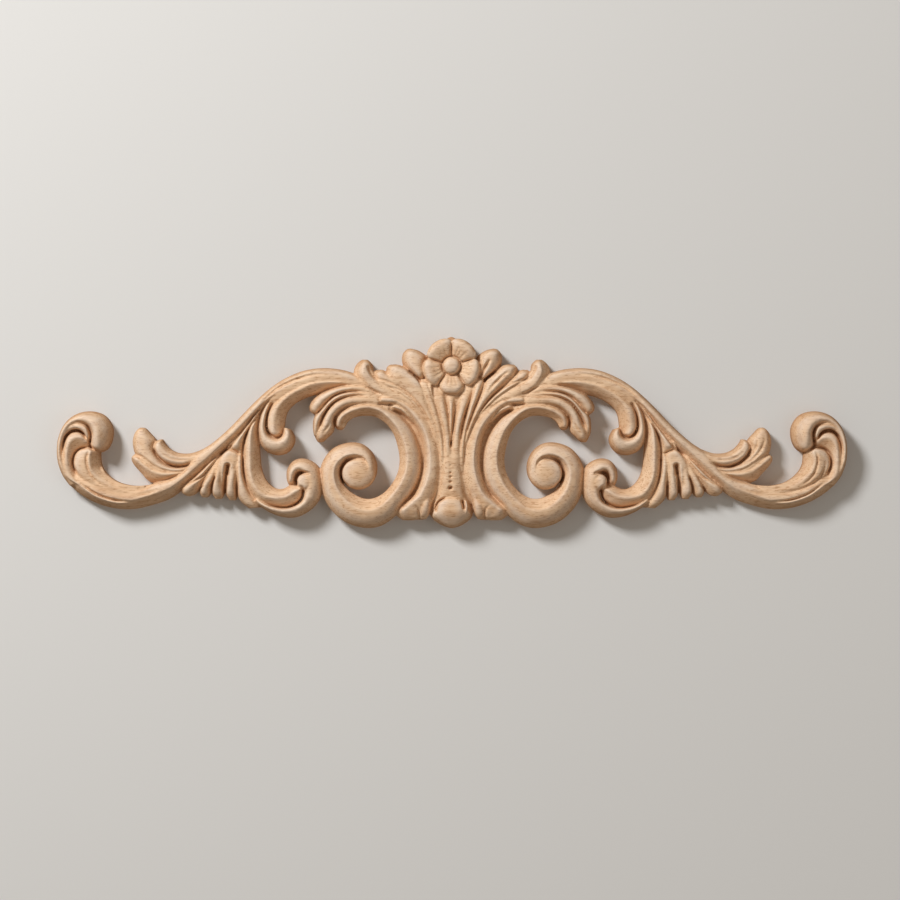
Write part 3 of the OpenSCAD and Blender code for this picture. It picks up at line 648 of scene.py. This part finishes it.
# Low filling between the band, the toes and the stem
strand([[-13.0, -34.0, -20.0, -34.0, 13.4, 0.5],
        [-15.6, -41.0, -23.0, -41.0, 13.2, 0.5],
        [-17.4, -47.0, -23.0, -47.0, 12.4, 0.5],
        [-18.0, -51.4, -22.0, -51.4, 10.0, 0.5]], (3.0, 3.0), (groove_h, groove_h))
strand([[-10.6, 8.0, -2.0, 8.0, 13.6, 0.5],
        [-9.0, -6.0, -2.0, -6.0, 13.6, 0.5],
        [-8.4, -20.0, -2.0, -20.0, 13.4, 0.5],
        [-9.0, -29.0, -2.0, -29.0, 12.8, 0.5],
        [-10.6, -36.0, -2.0, -36.0, 11.4, 0.5],
        [-12.0, -43.0, -2.0, -43.0, 9.4, 0.5]], (8.0, 8.0), (12.6, 12.6))
ground([[-9.0, -20.0, -20.0, -20.0], [-11.0, -36.0, -26.0, -36.0], [-14.0, -49.0, -29.0, -47.0]], 7.0)
cut([(-50.6, 40), (-49.6, 37), (-47.4, 33.4), (-43.4, 30.6)], 1.3, 1.7, (0.1, 0.4))
cut([(-52.6, 27.0), (-49, 25.8), (-45, 23.6), (-41.6, 22.7)], 1.2, 1.6, (0.35, 0.3))
cut([(-44.4, 16.8), (-41, 16.4), (-38, 16.2), (-35.4, 17.2)], 1.2, 2.0, (0.15, 0.3))
ground([[-47.0, 14.5, -47.0, 20.0], [-41.0, 12.5, -41.0, 19.5], [-35.0, 13.0, -35.0, 19.0]], 12.8)
cut([(-26.8, 36.8), (-23.4, 34.2), (-19, 30.9)], 1.3, 2.6, (0.3, 0.1))
cut([(-46.6, 31.8), (-41, 30.9), (-35, 28.6), (-28, 24.4), (-21, 17.6), (-15, 9), (-10, -2)],
    1.2, 1.0, (0.1, 0.4))
cut([(-39.4, 27.0), (-33, 25.8), (-27.6, 23.2), (-22, 18.8)], 1.1, 0.8, (0.3, 0.3), (left,))
cut([(-35.6, 20.0), (-30, 18.6), (-24.6, 15.2), (-19.6, 10.6)], 1.1, 0.9, (0.3, 0.4))
cut([(-15.2, 30.6), (-12.2, 22), (-8.6, 13), (-6.2, 5), (-5.0, -3)], 1.1, 0.6, (0.1, 0.3))
cut([(-22.8, 43.4), (-20, 38.8), (-17.4, 33.6)], 1.5, 2.2, (0.3, 0.1), (right,))
cut([(-34.6, 37), (-30.4, 33.6), (-25.6, 29), (-20.6, 23)], 1.4, 1.3, (0.3, 0.4), (right,))
cut([(-19.8, -52.6), (-19.6, -49), (-20.2, -46), (-22.6, -43.6)], 1.2, 1.4, (0.05, 0.5))

# ---- Stem and bulb -----------------------------------------------------------------------
# The fans close on a plain stem that spreads into a cup with a round bulb in it. A row
# of punched dots runs down its middle. What stands on the middle is made once, as written,
# so it names the left side alone.

# Narrow strip under the flower
strand([[-3.8, 28.0, 3.0, 28.0, 11.0, 0.5], [-3.2, 22.0, 2.0, 22.0, 13.6, 0.5],
        [-2.4, 15.0, 1.3, 15.0, 15.2, 0.5], [-1.8, 8.0, 0.6, 8.0, 15.4, 0.5],
        [-1.4, 1.0, 0.1, 1.0, 15.2, 0.5], [-1.2, -5.0, -0.2, -5.0, 14.8, 0.5]],
       (2.0, 2.0), (13.0, 13.0), (left,))
ground([[-5.0, 26.0, 5.0, 26.0], [-3.0, 10.0, 2.6, 10.0], [-3.0, -10.0, 2.6, -10.0]], 13.0, (left,))
# Stem and cup
strand([[-4.4, -6.0, 3.8, -6.0, 12.6, 0.5],
        [-6.0, -11.0, 5.4, -11.0, 15.0, 0.5],
        [-6.7, -17.0, 6.0, -17.0, 16.0, 0.5, 12.6, 12.6],
        [-6.9, -24.0, 6.3, -24.0, 15.9, 0.5, 12.0, 12.0],
        [-8.0, -31.0, 7.4, -31.0, 15.4, 0.5, 11.4, 11.4],
        [-10.0, -37.0, 9.5, -37.0, 14.8, 0.5],
        [-12.0, -43.0, 11.4, -43.0, 14.0, 0.5],
        [-12.9, -47.6, 12.4, -47.6, 12.6, 0.5],
        [-12.0, -51.6, 11.6, -51.6, 10.4, 0.5],
        [-6.4, -55.8, 6.2, -55.8, 8.6, 0.5],
        [-0.8, -57.7, 0.8, -57.7, 8.2, 0.5]], (3.4, 3.4), sides=(left,))
# Bulb
strand([[-2.6, -38.6, 2.2, -38.6, 14.4, 0.5, 13.6, 13.6],
        [-6.6, -40.5, 5.6, -40.7, 16.2, 0.5, 13.8, 13.8],
        [-8.8, -43.4, 7.6, -43.6, 16.9, 0.5, 13.4, 13.4],
        [-10.6, -47.2, 10.0, -47.4, 17.0, 0.5, 12.6, 12.6],
        [-11.7, -50.4, 11.2, -50.4, 15.9, 0.5, 10.6, 10.6],
        [-9.0, -54.0, 8.6, -54.0, 13.4, 0.5],
        [-4.4, -56.4, 4.2, -56.4, 11.0, 0.5],
        [-0.7, -57.6, 0.7, -57.6, 9.0, 0.5]], (3.0, 3.0), sides=(left,))
# Horn at the right of the bulb
strand([[-7.6, -41.0, -9.0, -41.4, 14.2, 0.5],
        [-7.7, -44.4, -9.8, -44.4, 16.2, 0.5],
        [-8.4, -47.9, -9.4, -48.0, 14.6, 0.5]], (2.0, 2.0), sides=(right,))
cut([(-3.6, -39.4), (-6.4, -40.8), (-8.5, -42.8), (-9.3, -45.6), (-9.6, -47.8)],
    1.2, 3.4, (0.25, 0.1), (left,))
cut([(-5.4, -40.8), (-6.4, -42.6), (-6.9, -44.4), (-7.1, -46.4)], 1.2, 3.0, (0.2, 0.15), (right,))
cut([(-0.7, -4.6), (-0.7, -7), (-0.7, -10.0)], 1.0, 3.0, (0.3, 0.5), (left,))
# Punched dots, larger downwards
for z, size in ((-20, 0.5), (-24.4, 0.8), (-26.9, 0.9), (-29.8, 0.9), (-33.5, 1.5)):
    cut([(-1.2, z), (-0.6, z)], size, size * 2, (0, 0), (left,))

# ---- Flower ------------------------------------------------------------------------------
# A five-petalled flower stands highest of all. Each petal dips towards the button and
# rolls over at its rim, and the tip of a sepal shows over the two top petals.
flower_x, flower_z = -0.3, 39.6
button_r = 5.4
petal_rows = [  # distance from the centre, half width, height
    (3.0, 2.3, 13.4), (6.0, 4.8, 14.2), (9.0, 7.0, 15.6), (11.4, 8.2, 16.6),
    (13.3, 8.0, 17.0), (15.0, 6.7, 16.6), (16.3, 4.7, 15.4), (17.0, 2.7, 14.0), (17.3, 1.0, 13.0)]
petal_spread = (0.86, 1.0, 1.04, 1.04, 1.0)  # width of each petal, from the lowest one round
for n, spread in enumerate(petal_spread):
    turn = math.radians(-90 + 360 / len(petal_spread) * n)
    out_x, out_z = math.cos(turn), math.sin(turn)
    strand([[flower_x + r * out_x - w * spread * out_z, flower_z + r * out_z + w * spread * out_x,
             flower_x + r * out_x + w * spread * out_z, flower_z + r * out_z - w * spread * out_x, h, 0.5]
            for r, w, h in petal_rows], (3.2, 3.2), (14.0, 14.0), (left,))
    for off, first, last, width, depth in ((36, 5.6, 14.6, 1.0, 1.8), (-12, 6.4, 13.0, 0.9, 0.4),
                                           (3, 6.4, 11.6, 0.9, 0.35), (15, 6.4, 13.4, 0.9, 0.4)):
        ray_x, ray_z = math.cos(turn + math.radians(off)), math.sin(turn + math.radians(off))
        cut([(flower_x + r * ray_x, flower_z + r * ray_z) for r in (first, (first + last) / 2, last)],
            width, depth, (0.05, 0.4), (left,))
dome((flower_x, flower_z), 13.0, 9.0, 12.6, fullness=5.0, sides=(left,))
dome((flower_x, flower_z), button_r, 12.4, 17.2, fullness=2.4, sides=(left,))
cut([(flower_x + 5.8 * math.cos(a / 12 * math.pi), flower_z + 5.8 * math.sin(a / 12 * math.pi))
     for a in range(25)], 1.0, 1.7, (0, 0), (left,))
# Sepal's tip
strand([[-8.0, 51.0, 8.0, 51.0, 10.0, 0.5], [-3.6, 55.6, 2.8, 55.6, 9.2, 0.5],
        [-0.9, 57.1, 0.1, 57.1, 7.8, 0.5]], sides=(left,))

# ---- One piece of wood -------------------------------------------------------------------
# All the strands are one board: they are fused, the gouge cuts are made, the surface is
# eased with abrasive paper, and the back is planed flat.
voxel = 0.42 * mm
most_triangles = 190000
bpy.ops.object.select_all(action="DESELECT")
for piece in strands:
    piece.select_set(True)
bpy.context.view_layer.objects.active = strands[0]
bpy.ops.object.join()
carving = bpy.context.object
carving.name = "scroll_pediment_carving"
carving.data.name = "scroll_pediment_carving"
bpy.ops.object.transform_apply()

fuse = carving.modifiers.new("fuse", "REMESH")
fuse.mode = "VOXEL"
fuse.voxel_size = voxel
bpy.ops.object.modifier_apply(modifier="fuse")

mesh = carving.data
co = points_of(mesh) / mm

# Gouge cuts, pressed straight into the face
order = np.argsort(co[:, 0])
sorted_x = co[order, 0]
sunk = np.zeros(len(co))
wall_foot = 3.0     # nothing below this height above the back is carved
bite = 0.02         # leaves a pass some depth at its very ends


def share_of_face(co, blend=3):
    """0 up to the walls' foot, rising to 1 over the blend above it."""
    return np.clip((-co[:, 1] - wall_foot) / blend, 0, 1)


for points, width, depth, fade in cuts:
    line = smooth_rows(points, 0.35)
    first = np.searchsorted(sorted_x, line[:, 0].min() - width)
    last = np.searchsorted(sorted_x, line[:, 0].max() + width)
    near = order[first:last]
    near = near[(co[near, 1] < -wall_foot) & (co[near, 2] > line[:, 1].min() - width)
                & (co[near, 2] < line[:, 1].max() + width)]
    gap = np.hypot(co[near, 0:1] - line[:, 0], co[near, 2:3] - line[:, 1])
    along = gap.argmin(axis=1) / max(len(line) - 1, 1)
    gap = gap.min(axis=1)
    strength = np.clip(np.minimum((along + bite) / (fade[0] + bite),
                                  (1 + bite - along) / (fade[1] + bite)), 0, 1)
    v_shape = np.clip(1 - gap / width, 0, 1) ** 1.2
    sunk[near] = np.maximum(sunk[near], share_of_face(co[near]) * depth * strength * v_shape)
co[:, 1] += sunk


def blurred(field, radius):
    """The field averaged over a soft round window."""
    steps = np.arange(-3 * radius, 3 * radius + 1)
    window = np.exp(-(steps / radius) ** 2 / 2)
    window /= window.sum()
    for axis in (0, 1):
        field = np.apply_along_axis(lambda line: np.convolve(line, window, mode="same"), axis, field)
    return field


def averaged_heights(co, radii, cell=0.5):
    """Heights above the back at each point, averaged over each radius, counted in cells."""
    corner = co.min(axis=0) - 12
    size = ((co.max(axis=0) + 12 - corner) / cell).astype(int) + 1
    column = ((co[:, 0] - corner[0]) / cell).astype(int)
    row = ((co[:, 2] - corner[2]) / cell).astype(int)
    heights = np.zeros((size[0], size[2]))
    np.maximum.at(heights, (column, row), -co[:, 1])
    wood_here = (heights > 1).astype(float)
    return [(blurred(heights * wood_here, r) / np.maximum(blurred(wood_here, r), 1e-3))[column, row]
            for r in radii]


# The last cuts bring the ridges up crisp and open the grooves
crispness = 0.6
near_average, far_average = averaged_heights(co, (1, 3))
co[:, 1] -= share_of_face(co, 4) * crispness * np.clip(near_average - far_average, -1.2, 0.8)

# Unevenness left by the hand: long shallow waves in every direction
highest = 17.95
rng = np.random.default_rng(7)
waves = np.zeros(len(co))
for wave_length, height in ((17, 0.10), (9, 0.07), (5, 0.045), (3, 0.025)):
    for _ in range(5):
        heading = rng.uniform(0, 2 * math.pi)
        phase = rng.uniform(0, 2 * math.pi)
        pitch = 2 * math.pi / (wave_length * rng.uniform(0.8, 1.25))
        forward = co[:, 0] * math.cos(heading) + co[:, 2] * math.sin(heading)
        waves += height / 2.2 * np.sin(pitch * forward + phase)
co[:, 1] += waves * share_of_face(co)
co[:, 1] = np.maximum(co[:, 1], -highest)
mesh.vertices.foreach_set("co", (co * mm).ravel())
mesh.update()

ease = carving.modifiers.new("ease", "SMOOTH")
ease.factor = 0.4
ease.iterations = 1
bpy.ops.object.modifier_apply(modifier="ease")
mesh = carving.data
co = points_of(mesh)
planed_off = 0.6 * mm
co[co[:, 1] > -planed_off, 1] = 0
mesh.vertices.foreach_set("co", co.ravel())
mesh.update()

thin = carving.modifiers.new("thin", "DECIMATE")
thin.ratio = min(1.0, most_triangles / (2 * len(mesh.polygons)))
bpy.ops.object.modifier_apply(modifier="thin")
bpy.ops.object.shade_smooth()

# How far each point lies below its surroundings, which sets the painted shade and the painted highlight
mesh = carving.data
co = points_of(mesh) / mm
deep_hollow = 3.5
around = averaged_heights(co, (4,))[0]
hollow = np.clip((around + co[:, 1]) / deep_hollow, -1, 1)
mark = mesh.attributes.new("hollow", "FLOAT", "POINT")
mark.data.foreach_set("value", hollow.astype(np.float32))

# Bare beech, planed and sanded: a pale pinkish tan, with short pore flecks along the board, painted shade
# that browns the hollows, and a painted highlight that pales the ridges.
wood = bpy.data.materials.new("bare_wood")
wood.use_nodes = True
nodes, links = wood.node_tree.nodes, wood.node_tree.links
shader = nodes["Principled BSDF"]
shader.inputs["Specular IOR Level"].default_value = 0.28
place = nodes.new("ShaderNodeTexCoord")


def grain(scale, detail, roughness=0.5, distortion=0.0):
    """Noise stretched along the board; scale is in cells for each metre along X, Y and Z."""
    stretch = nodes.new("ShaderNodeMapping")
    stretch.inputs["Scale"].default_value = scale
    links.new(place.outputs["Object"], stretch.inputs["Vector"])
    noise = nodes.new("ShaderNodeTexNoise")
    noise.inputs["Scale"].default_value = 1.0
    noise.inputs["Detail"].default_value = detail
    noise.inputs["Roughness"].default_value = roughness
    noise.inputs["Distortion"].default_value = distortion
    links.new(stretch.outputs[0], noise.inputs["Vector"])
    return noise.outputs[0]


def ranged(value, low, high, to_low=0.0, to_high=1.0):
    """The value from low to high, spread over to_low to to_high."""
    node = nodes.new("ShaderNodeMapRange")
    node.inputs["From Min"].default_value = low
    node.inputs["From Max"].default_value = high
    node.inputs["To Min"].default_value = to_low
    node.inputs["To Max"].default_value = to_high
    links.new(value, node.inputs["Value"])
    return node.outputs[0]


def tinted(factor, first, second):
    """From the first colour to the second, as the factor goes from 0 to 1."""
    node = nodes.new("ShaderNodeMix")
    node.data_type = "RGBA"
    links.new(factor, node.inputs["Factor"])
    for socket, colour in (("A", first), ("B", second)):
        target = [s for s in node.inputs if s.name == socket and s.type == "RGBA"][0]
        if isinstance(colour, tuple):
            target.default_value = (*colour, 1)
        else:
            links.new(colour, target)
    return [s for s in node.outputs if s.type == "RGBA"][0]


board = tinted(ranged(grain((14, 45, 45), 3), 0.35, 0.65), (0.75, 0.53, 0.345), (0.69, 0.455, 0.275))
growth = ranged(grain((50, 420, 420), 4, 0.6, 0.3), 0.44, 0.7, 0.0, 0.7)
streaks = tinted(growth, board, (0.54, 0.31, 0.165))
pores = ranged(grain((240, 1300, 1300), 2), 0.545, 0.67, 0.0, 0.75)
flecks = tinted(pores, streaks, (0.42, 0.22, 0.105))
depth = nodes.new("ShaderNodeAttribute")
depth.attribute_name = "hollow"
# Painted shade: the colour turns dark brown where a point lies below its surroundings
painted_shade = tinted(ranged(depth.outputs["Fac"], 0.08, 1.0, 0.0, 0.6), flecks, (0.38, 0.17, 0.065))
# Painted highlight: the colour turns pale where a point stands above its surroundings
painted_highlight = tinted(ranged(depth.outputs["Fac"], -0.1, -0.5, 0.0, 0.42), painted_shade, (0.75, 0.66, 0.57))
links.new(painted_highlight, shader.inputs["Base Color"])
links.new(ranged(grain((90, 600, 600), 3), 0.3, 0.7, 0.5, 0.68), shader.inputs["Roughness"])
bump = nodes.new("ShaderNodeBump")
bump.inputs["Strength"].default_value = 0.35
bump.inputs["Distance"].default_value = 0.12 * mm
links.new(grain((260, 1500, 1500), 3, 0.6), bump.inputs["Height"])
links.new(bump.outputs[0], shader.inputs["Normal"])
carving.data.materials.clear()
carving.data.materials.append(wood)

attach(carving, "root")
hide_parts("scroll_pediment")

# ---- Wall --------------------------------------------------------------------------------
# The carving lies flat on a plain pale wall, which shows only from the front. The wall
# throws little light back, so that the carving's shaded sides stay shaded.
wall_size = 6.0
wall_gap = 0.2 * mm
bpy.ops.mesh.primitive_plane_add(size=wall_size, location=(0, wall_gap, 0),
                                 rotation=(math.radians(90), 0, 0))
wall = bpy.context.object
wall.name = "wall"

paint = bpy.data.materials.new("pale_wall")
paint.use_nodes = True
nodes, links = paint.node_tree.nodes, paint.node_tree.links
paint_shader = nodes["Principled BSDF"]
paint_shader.inputs["Roughness"].default_value = 0.9
paint_shader.inputs["Specular IOR Level"].default_value = 0.0
ray = nodes.new("ShaderNodeLightPath")
shown = tinted(ray.outputs["Is Camera Ray"], (0.24, 0.19, 0.145), (0.66, 0.66, 0.65))
links.new(shown, paint_shader.inputs["Base Color"])
see_through = nodes.new("ShaderNodeBsdfTransparent")
facing = nodes.new("ShaderNodeNewGeometry")
either = nodes.new("ShaderNodeMixShader")
links.new(facing.outputs["Backfacing"], either.inputs[0])
links.new(paint_shader.outputs[0], either.inputs[1])
links.new(see_through.outputs[0], either.inputs[2])
links.new(either.outputs[0], nodes["Material Output"].inputs["Surface"])
wall.data.materials.append(paint)

# ---- Studio light ------------------------------------------------------------------------
# One soft lamp stands high on the left, a weak one fills from the right, a third shines
# straight on the back for the other views, and the air is pale.
lamps = [  # place, width, watts
    ((-1.20, -1.35, 1.25), 0.5, 48.5),
    ((1.5, -1.8, -0.4), 1.4, 4.0)]
for where, width, watts in lamps:
    bpy.ops.object.light_add(type="AREA", location=where)
    lamp = bpy.context.object
    lamp.data.size = width
    lamp.data.energy = watts
    lamp.rotation_euler = (-lamp.location).to_track_quat("-Z", "Y").to_euler()

# The wall doesn't shade the back from the last lamp, and the lamp adds no glint to the edges
bpy.ops.object.light_add(type="SUN", location=(0, 2.4, 0), rotation=(math.radians(-90), 0, 0))
back_lamp = bpy.context.object
back_lamp.data.energy = 2.6
back_lamp.visible_glossy = False
in_the_way = bpy.data.collections.new("in_the_way")
in_the_way.objects.link(carving)
back_lamp.light_linking.blocker_collection = in_the_way

world = bpy.data.worlds.new("studio")
bpy.context.scene.world = world
world.use_nodes = True
nodes, links = world.node_tree.nodes, world.node_tree.links
air = nodes["Background"]
air.inputs["Color"].default_value = (1.0, 0.87, 0.73, 1)
air.inputs["Strength"].default_value = 0.285
seen = nodes.new("ShaderNodeBackground")
seen.inputs["Color"].default_value = (0.78, 0.78, 0.77, 1)
ray = nodes.new("ShaderNodeLightPath")
shown = nodes.new("ShaderNodeMixShader")
links.new(ray.outputs["Is Camera Ray"], shown.inputs[0])
links.new(air.outputs[0], shown.inputs[1])
links.new(seen.outputs[0], shown.inputs[2])
links.new(shown.outputs[0], nodes["World Output"].inputs["Surface"])
bpy.context.scene.view_settings.view_transform = "Standard"
